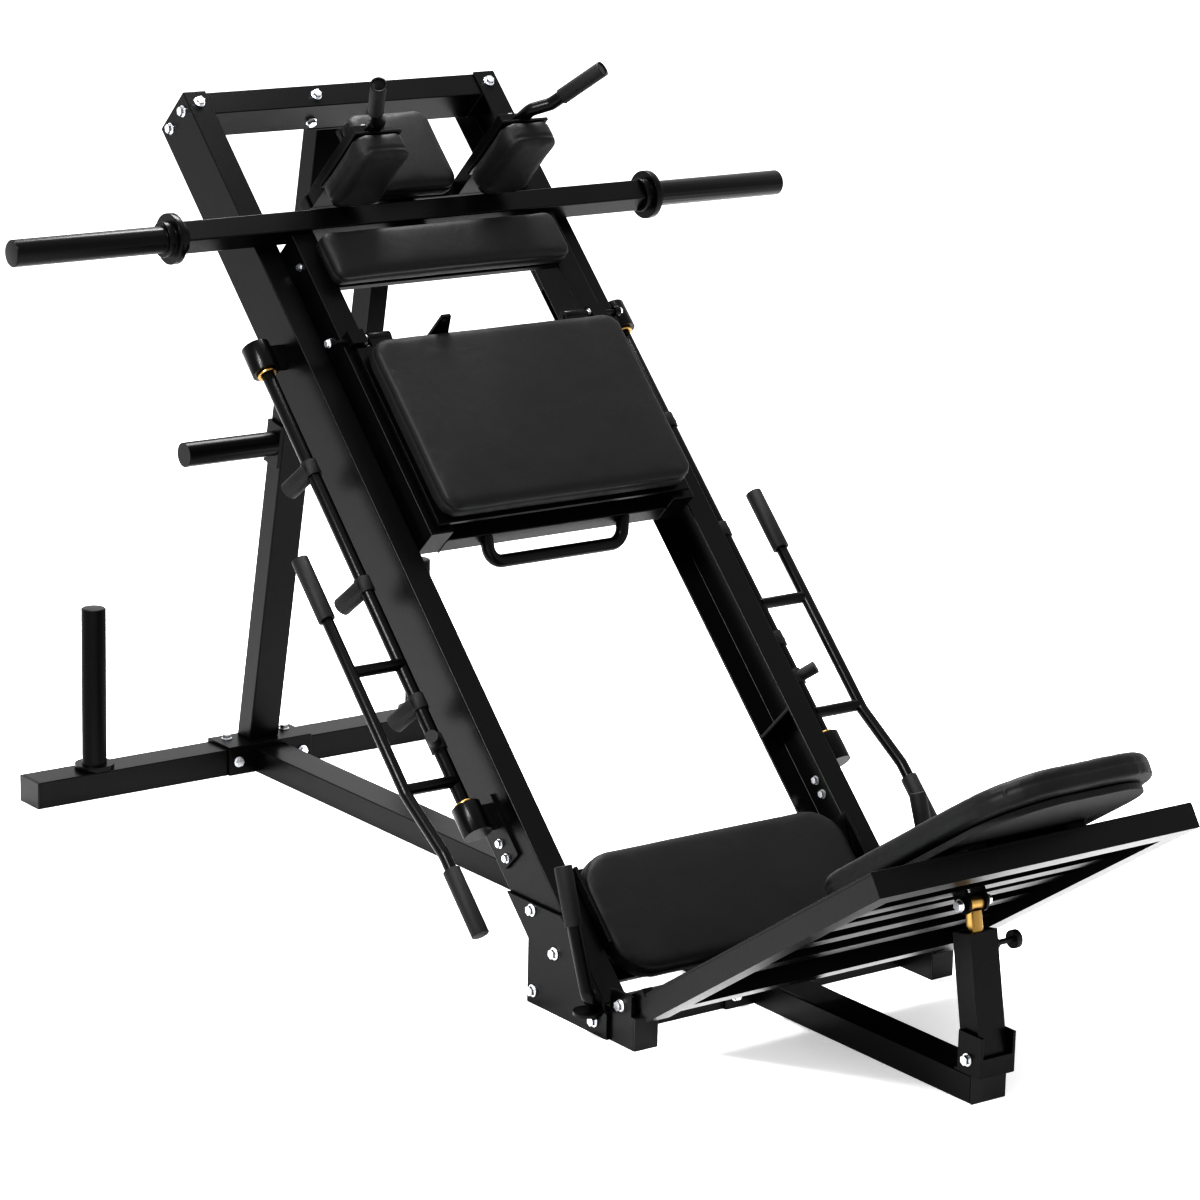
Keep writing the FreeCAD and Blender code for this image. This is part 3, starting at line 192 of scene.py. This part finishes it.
zinc = metal("zinc plate", (0.50, 0.51, 0.53), (0.72, 0.73, 0.75), 0.2, 0.36)
brass = metal("satin brass", (0.27, 0.17, 0.055), (0.38, 0.25, 0.09), 0.24, 0.38)
rubber = moulded("black rubber", (0.0045, 0.0045, 0.0045), (0.014, 0.014, 0.014), 0.5, 0.66, 0.0012)
plastic = moulded("black plastic", (0.0045, 0.0045, 0.0045), (0.014, 0.014, 0.014), 0.36, 0.5, 0.0005)
nylon = moulded("black nylon", (0.012, 0.012, 0.012), (0.03, 0.03, 0.03), 0.3, 0.45, 0.0003)
board = moulded("painted board", (0.007, 0.007, 0.007), (0.02, 0.02, 0.02), 0.5, 0.7, 0.0012)
by_slot = {"black_steel": powder, "zinc_steel": zinc, "brass": brass, "grip_rubber": rubber,
           "cap_plastic": plastic, "roller_nylon": nylon, "board_wood": board}
rounding = {name: 0.003 for name in nodes if name.endswith(("_rail", "_beam", "_tube", "_member", "rear_post",
                                                            "weight_bar", "platform_frame", "front_post"))}
for part in frame["record"]["subparts"]:
    piece = nodes[part["node"]]
    finish = by_slot.get(part["material_slot"])
    if finish:
        piece.data.materials.clear()
        piece.data.materials.append(finish)
        weld = piece.modifiers.new("Weld", "WELD")
        weld.merge_threshold = 0.00001
        flat = piece.modifiers.new("Flat faces", "DECIMATE")
        flat.decimate_type = "DISSOLVE"
        flat.angle_limit = math.radians(0.5)
        soften = piece.modifiers.new("Soft edges", "BEVEL")
        soften.width = rounding.get(part["node"], 0.0011)
        soften.segments = 2
        soften.limit_method = "ANGLE"
        soften.angle_limit = math.radians(40)
        soften.harden_normals = True

# ---------------------------------------------------------------- cushions
# Each cushion is foam on a board under stretched black leatherette: a face that crowns slightly,
# round corners, and a seam sewn into the sides just under the face.

leather, tree, shader = new_material("black leatherette")
effect = shared_effect(tree)
spot = tree.nodes.new("ShaderNodeTexCoord")
pebble = add(tree, "ShaderNodeTexVoronoi", Scale=520.0)
pebble.feature = "DISTANCE_TO_EDGE"
tree.links.new(spot.outputs["Object"], pebble.inputs["Vector"])
crease = add(tree, "ShaderNodeTexNoise", Scale=16.0, Detail=5.0, Distortion=0.8)
tree.links.new(spot.outputs["Object"], crease.inputs["Vector"])
relief(tree, shader, crease.outputs["Fac"], 0.006, 0.25)
relief(tree, shader, pebble.outputs["Distance"], 0.0008, 0.35)
spread(tree, effect.outputs["Cloud"], shader.inputs["Roughness"], 0.44, 0.56)
tint(tree, shader, effect.outputs["Dust"], (0.0045, 0.0045, 0.0048), (0.012, 0.012, 0.0125))
shader.inputs["Specular IOR Level"].default_value = 0.16

rail_turn = math.atan2(-frame["joints"][0]["axis"][2], -frame["joints"][0]["axis"][1])
deck_turn = -math.radians(33.4)


def turned_box(points, turn):
    """The box of some points in axes turned about X."""
    back = Matrix.Rotation(-turn, 3, "X")
    spots = [back @ point for point in points]
    low = Vector(min(spot[axis] for spot in spots) for axis in range(3))
    high = Vector(max(spot[axis] for spot in spots) for axis in range(3))
    return low, high


def settle(piece):
    """Make what the piece's modifiers show its own mesh."""
    graph = bpy.context.evaluated_depsgraph_get()
    skin = bpy.data.meshes.new_from_object(piece.evaluated_get(graph))
    piece.modifiers.clear()
    piece.data = skin


def even_skin(piece):
    """Turn a closed form into an even net of small faces."""
    remesh = piece.modifiers.new("Even skin", "REMESH")
    remesh.mode = "VOXEL"
    remesh.voxel_size = 0.006
    settle(piece)


def swell(piece, limit):
    """Fill a closed skin with pressure and keep each point within a limit of where it was."""
    start = [vertex.co.copy() for vertex in piece.data.vertices]
    cloth = piece.modifiers.new("Foam", "CLOTH")
    cloth.settings.use_pressure = True
    cloth.settings.uniform_pressure_force = 4
    cloth.settings.effector_weights.gravity = 0
    cloth.settings.tension_stiffness = 25
    for step in range(1, 16):
        bpy.context.scene.frame_set(step)
    settle(piece)
    for vertex, before in zip(piece.data.vertices, start):
        shift = vertex.co - before
        vertex.co = before + shift * min(1, limit / max(shift.length, 1e-6))
    bpy.context.scene.frame_set(1)


seam_depth, seam_width = 0.0022, 0.0034


def cushion(name, low, high, turn, body, corner, edge, face=2, side=1, crown=0.006):
    """An upholstered pad in axes turned about X, its sewn face towards one side of an axis."""
    size = high - low
    form = bmesh.new()
    bmesh.ops.create_cube(form, size=1)
    shrink = 0.003
    bmesh.ops.scale(form, vec=[length - 2 * shrink for length in size], verts=form.verts)
    upright = [item for item in form.edges
               if abs((item.verts[0].co - item.verts[1].co)[face]) > size[face] / 2]
    bmesh.ops.bevel(form, geom=upright, offset=corner, segments=7, profile=0.5, affect="EDGES", material=-1)
    rims = []
    for item in form.edges:
        heights = [vertex.co[face] * side for vertex in item.verts]
        if min(heights) > size[face] / 2 - shrink - 0.001 and len(item.link_faces) == 2:
            rims.append(item)
    bmesh.ops.bevel(form, geom=rims, offset=edge, segments=4, profile=0.5, affect="EDGES", material=-1)
    mesh = bpy.data.meshes.new(name)
    form.to_mesh(mesh)
    form.free()
    piece = bpy.data.objects.new(name, mesh)
    bpy.context.collection.objects.link(piece)
    even_skin(piece)
    swell(piece, 0.0018)
    finer = piece.modifiers.new("Smooth skin", "SUBSURF")
    finer.levels = 1
    finer.render_levels = 1
    settle(piece)
    mesh = piece.data
    across, along = [axis for axis in range(3) if axis != face]
    line = size[face] / 2 - edge - 0.006
    for vertex in mesh.vertices:
        spot = vertex.co
        sunk = min(1, abs(spot[across]) / (size[across] / 2)), min(1, abs(spot[along]) / (size[along] / 2))
        height = spot[face] * side
        if height > 0:
            dome = (1 - sunk[0] ** 2.5) * (1 - sunk[1] ** 2.5)
            spot[face] += side * (crown * dome - 0.002)
        groove = seam_depth * math.exp(-((height - line) / seam_width) ** 2)
        for axis in (across, along):
            if abs(spot[axis]) > 0.42 * size[axis]:
                spot[axis] -= math.copysign(groove, spot[axis])
        spot += Vector((noise.noise(spot * 14), noise.noise(spot * 14 + Vector((9, 0, 0))),
                        noise.noise(spot * 14 + Vector((0, 9, 0))))) * 0.0006
    mesh.transform(Matrix.Rotation(turn, 4, "X") @ Matrix.Translation((low + high) / 2))
    mesh.shade_smooth()
    mesh.materials.clear()
    mesh.materials.append(leather)
    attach(piece, body)
    return piece


def node_box(node, turn, wanted=lambda point: True):
    """The turned box of those points of a node that are wanted."""
    points = [vertex.co.copy() for vertex in nodes[node].data.vertices]
    return turned_box([point for point in points if wanted(point)], turn)


for node, turn, body, corner, edge in (("seat_pad", rail_turn, "frame", 0.074, 0.012),
                                       ("back_pad", rail_turn, "sled", 0.022, 0.012),
                                       ("head_pad", rail_turn, "sled", 0.030, 0.012),
                                       ("panel_pad", rail_turn, "panel", 0.034, 0.012),
                                       ("leg_pad", deck_turn, "platform", 0.125, 0.014)):
    low, high = node_box(node, turn)
    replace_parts(cushion(node + "_cover", low, high, turn, body, corner, edge), node)
for name, sign in (("left", -1), ("right", 1)):
    low, high = node_box("shoulder_pads", rail_turn, lambda point: point.x * sign > 0)
    piece = cushion(f"{name}_shoulder_cover", low, high, rail_turn, "sled", 0.028, 0.010, 1, -1, 0.003)
    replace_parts(piece, "shoulder_pads")

# ---------------------------------------------------------------- the leg press pad's board
# The leg press pad is stapled to a painted board that is cut with the same large round corners, a
# little smaller all round, so that it stays out of sight under the foam.

board_corner, board_rim = 0.122, 0.0012


def shaped(name, form, finish, body, smooth=False):
    """Make a finished form a piece of its own that moves with a body."""
    mesh = bpy.data.meshes.new(name)
    form.to_mesh(mesh)
    form.free()
    if smooth:
        mesh.shade_smooth()
    mesh.materials.append(finish)
    piece = bpy.data.objects.new(name, mesh)
    bpy.context.collection.objects.link(piece)
    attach(piece, body)
    return piece


def stands(edge):
    """Whether an edge of a block runs along its Z."""
    return abs((edge.verts[0].co - edge.verts[1].co).z) > 0.001


board_low, board_high = node_box("leg_pad_board", deck_turn)
form = bmesh.new()
bmesh.ops.create_cube(form, size=1)
bmesh.ops.scale(form, vec=board_high - board_low, verts=form.verts)
upright = [item for item in form.edges if stands(item)]
bmesh.ops.bevel(form, geom=upright, offset=board_corner, segments=14, profile=0.5, affect="EDGES", material=-1)
rims = [item for item in form.edges if not stands(item)]
bmesh.ops.bevel(form, geom=rims, offset=board_rim, segments=2, profile=0.5, affect="EDGES", material=-1)
settled = Matrix.Rotation(deck_turn, 4, "X") @ Matrix.Translation((board_low + board_high) / 2)
bmesh.ops.transform(form, matrix=settled, verts=form.verts)
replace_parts(shaped("leg_pad_board_round", form, board, "platform"), "leg_pad_board")

# ---------------------------------------------------------------- grips, plugs and small bolts
# Rubber sleeves are pushed over the shoulder handles and round plastic plugs close the sleeves and
# storage pegs. Zinc bolts hold the strut's clevis and the panel's hinge pins and ears.

joints = {joint["name"]: joint for joint in frame["joints"]}
hinge = Vector(joints["panel_flip"]["pos_m"])
down_rail = Vector(joints["sled_slide"]["axis"]).normalized()
off_rail = Vector((0, down_rail.z, -down_rail.y))


hinge_down, hinge_up = 0.622, 0.045


def on_rail(x, down, up):
    """A point by its X, its distance down the rail from the top and its height over the rail."""
    return Vector((x, hinge.y, hinge.z)) + down_rail * (down - hinge_down) + off_rail * (up - hinge_up)


def round_piece(name, start, end, radius, finish, body, ring=0.0015, inner=None):
    """A turned or moulded round piece with softened ends, between two points."""
    form = bmesh.new()
    way = end - start
    bmesh.ops.create_cone(form, cap_ends=True, segments=40, radius1=radius, radius2=radius, depth=way.length)
    if inner:
        lids = [item for item in form.faces if len(item.verts) > 4]
        bmesh.ops.inset_region(form, faces=lids, thickness=radius - inner, depth=0)
        lids = [item for item in form.faces if len(item.verts) > 4]
        bmesh.ops.delete(form, geom=lids, context="FACES")
        loops = [item for item in form.edges if item.is_boundary]
        bmesh.ops.bridge_loops(form, edges=loops)
    sharp = [item for item in form.edges if item.calc_face_angle(0) > 1]
    bmesh.ops.bevel(form, geom=sharp, offset=ring, segments=3, profile=0.5, affect="EDGES", material=-1)
    bmesh.ops.recalc_face_normals(form, faces=form.faces)
    turn = way.to_track_quat("Z", "Y").to_matrix().to_4x4()
    bmesh.ops.transform(form, matrix=Matrix.Translation((start + end) / 2) @ turn, verts=form.verts)
    return shaped(name, form, finish, body, smooth=True)


def hex_bolt(name, seat, way, size, body):
    """A hexagon bolt head with a chamfered top on a plain washer."""
    way = way.normalized()
    form = bmesh.new()
    for sides, radius, base, top in ((32, 1.25, 0, 0.2), (6, 1, 0.2, 0.95)):
        bmesh.ops.create_cone(form, cap_ends=True, segments=sides, radius1=size * radius, radius2=size * radius,
                              depth=size * (top - base), matrix=Matrix.Translation((0, 0, size * (base + top) / 2)))
    rims = [item for item in form.edges if item.calc_face_angle(0) > 0.9]
    bmesh.ops.bevel(form, geom=rims, offset=size * 0.07, segments=2, profile=0.5, affect="EDGES", material=-1)
    turn = way.to_track_quat("Z", "Y").to_matrix().to_4x4()
    bmesh.ops.transform(form, matrix=Matrix.Translation(seat) @ turn, verts=form.verts)
    shaped(name, form, zinc, body)


pin_end, ear_face = 0.332, 0.258
grip_radius, grip_bore, grip_edge = 0.0152, 0.0126, 0.003
plug_radius, plug_sunk, plug_proud = 0.0235, 0.003, 0.002
peg_out, peg_height = 0.394, 0.388
clevis_pin, clevis_face = Vector((0, -1.1031, 0.33)), 0.028
beam_low, beam_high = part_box("rear_cross_beam")
bar_low, bar_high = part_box("weight_sleeves")
bar_middle = (bar_low + bar_high) / 2
upward = Vector((0, 0, 1))
for name, sign in (("left", -1), ("right", 1)):
    out = Vector((sign, 0, 0))
    handle_low = on_rail(sign * 0.2115, 0.3023, 0.3164)
    handle_high = on_rail(sign * 0.2525, 0.3111, 0.4085)
    round_piece(f"{name}_shoulder_grip", handle_low, handle_high, grip_radius, rubber, "sled",
                grip_edge, grip_bore)
    tip = Vector((sign * bar_high.x, bar_middle.y, bar_middle.z))
    round_piece(f"{name}_sleeve_plug", tip - out * plug_sunk, tip + out * plug_proud, plug_radius, plastic, "sled")
    peg_top = Vector((sign * peg_out, (beam_low.y + beam_high.y) / 2, peg_height))
    round_piece(f"{name}_peg_plug", peg_top - upward * plug_sunk, peg_top + upward * plug_proud, plug_radius,
                plastic, "frame")
    hex_bolt(f"{name}_pin_head", on_rail(sign * pin_end, hinge_down, hinge_up), out, 0.007, "sled")
    hex_bolt(f"{name}_ear_bolt", on_rail(sign * ear_face, hinge_down, hinge_up + 0.007), -out, 0.006, "sled")
for name, sign in (("left", -1), ("right", 1)):
    out = Vector((sign, 0, 0))
    hex_bolt(f"{name}_clevis_bolt", clevis_pin + out * clevis_face, out, 0.009, "platform")

# ---------------------------------------------------------------- weld beads
# Where a tube meets a plate the welder leaves a thin fillet of weld, rippled by each stop of the
# torch. The powder coat goes over it, so the beads have the colour of the steel.


def weld_bead(name, points, body, radius=0.0022):
    """A rippled bead along a line of points."""
    form = bmesh.new()
    for start, end in zip(points, points[1:]):
        way = end - start
        steps = max(2, int(way.length / 0.003))
        turn = way.to_track_quat("Z", "Y").to_matrix().to_4x4()
        for step in range(steps):
            middle = start + way * ((step + 0.5) / steps)
            bmesh.ops.create_cone(form, cap_ends=True, segments=8, radius1=radius, radius2=radius * 0.7,
                                  depth=way.length / steps * 1.2, matrix=Matrix.Translation(middle) @ turn)
    shaped(name, form, powder, body, smooth=True)


for name, sign in (("left", -1), ("right", 1)):
    lip, web, member = sign * 0.313, sign * 0.354, sign * 0.2502
    weld_bead(f"{name}_stop_weld", [on_rail(lip, 1.491, -0.0052), on_rail(web, 1.491, -0.0052)], "frame")
    weld_bead(f"{name}_beam_weld", [on_rail(sign * 0.311, 0.052, -0.006), on_rail(sign * 0.311, 0.052, -0.08)],
              "frame")
    weld_bead(f"{name}_cross_weld", [on_rail(member, 1.0455, -0.030), on_rail(member, 1.0455, 0.0095)], "sled")


# ---------------------------------------------------------------- the studio
# A pale floor that glows slightly and an even white backdrop stand in for a studio cove. Three
# soft square lamps do the rest, and the camera stands low in front of the left side.

floor_mesh = bpy.data.meshes.new("floor")
form = bmesh.new()
bmesh.ops.create_grid(form, x_segments=1, y_segments=1, size=30)
form.to_mesh(floor_mesh)
form.free()
floor = bpy.data.objects.new("floor", floor_mesh)
bpy.context.collection.objects.link(floor)
pale, tree, shader = new_material("pale floor")
grain = add(tree, "ShaderNodeTexNoise", Scale=2.0)
tint(tree, shader, grain.outputs["Fac"], (0.93, 0.93, 0.93), (0.95, 0.95, 0.95))
shader.inputs["Roughness"].default_value = 0.95
shader.inputs["Specular IOR Level"].default_value = 0.0
shader.inputs["Emission Color"].default_value = (1, 1, 1, 1)
shader.inputs["Emission Strength"].default_value = 0.3
floor_mesh.materials.append(pale)

world = bpy.data.worlds.new("studio")
bpy.context.scene.world = world
world.use_nodes = True
world.node_tree.nodes["Background"].inputs["Color"].default_value = (1, 1, 1, 1)
world.node_tree.nodes["Background"].inputs["Strength"].default_value = 1.0
bpy.context.scene.view_settings.view_transform = "Standard"
bpy.context.scene.view_settings.look = "High Contrast"


def softbox(name, spot, aim, size, power):
    """A square area light that faces a point."""
    lamp = bpy.data.lights.new(name, "AREA")
    lamp.size = size
    lamp.energy = power
    light = bpy.data.objects.new(name, lamp)
    light.location = spot
    light.rotation_euler = (Vector(aim) - Vector(spot)).to_track_quat("-Z", "Y").to_euler()
    bpy.context.collection.objects.link(light)


middle = (cad_low + cad_high) / 2
softbox("key", (-3.4, -1.2, 4.0), middle, 0.9, 300)
softbox("fill", (3.2, -3.4, 1.8), middle, 2.4, 8)
softbox("top", (0.6, 1.6, 4.0), middle, 1.4, 200)

view_turn, view_rise, view_roll = math.radians(-36.82), math.radians(14.54), math.radians(1.41)
view_distance, lens_length = 7.706, 126
view_aim = Vector((0, -0.0513, 0.614))
camera = bpy.data.objects.new("camera", bpy.data.cameras.new("camera"))
bpy.context.collection.objects.link(camera)
camera.data.lens = lens_length
away = Vector((math.sin(view_turn) * math.cos(view_rise), -math.cos(view_turn) * math.cos(view_rise),
               math.sin(view_rise)))
camera.location = view_aim + away * view_distance
facing = (-away).to_track_quat("-Z", "Y").to_matrix().to_4x4()
camera.matrix_world = Matrix.Translation(camera.location) @ facing @ Matrix.Rotation(view_roll, 4, "Z")
bpy.context.scene.camera = camera
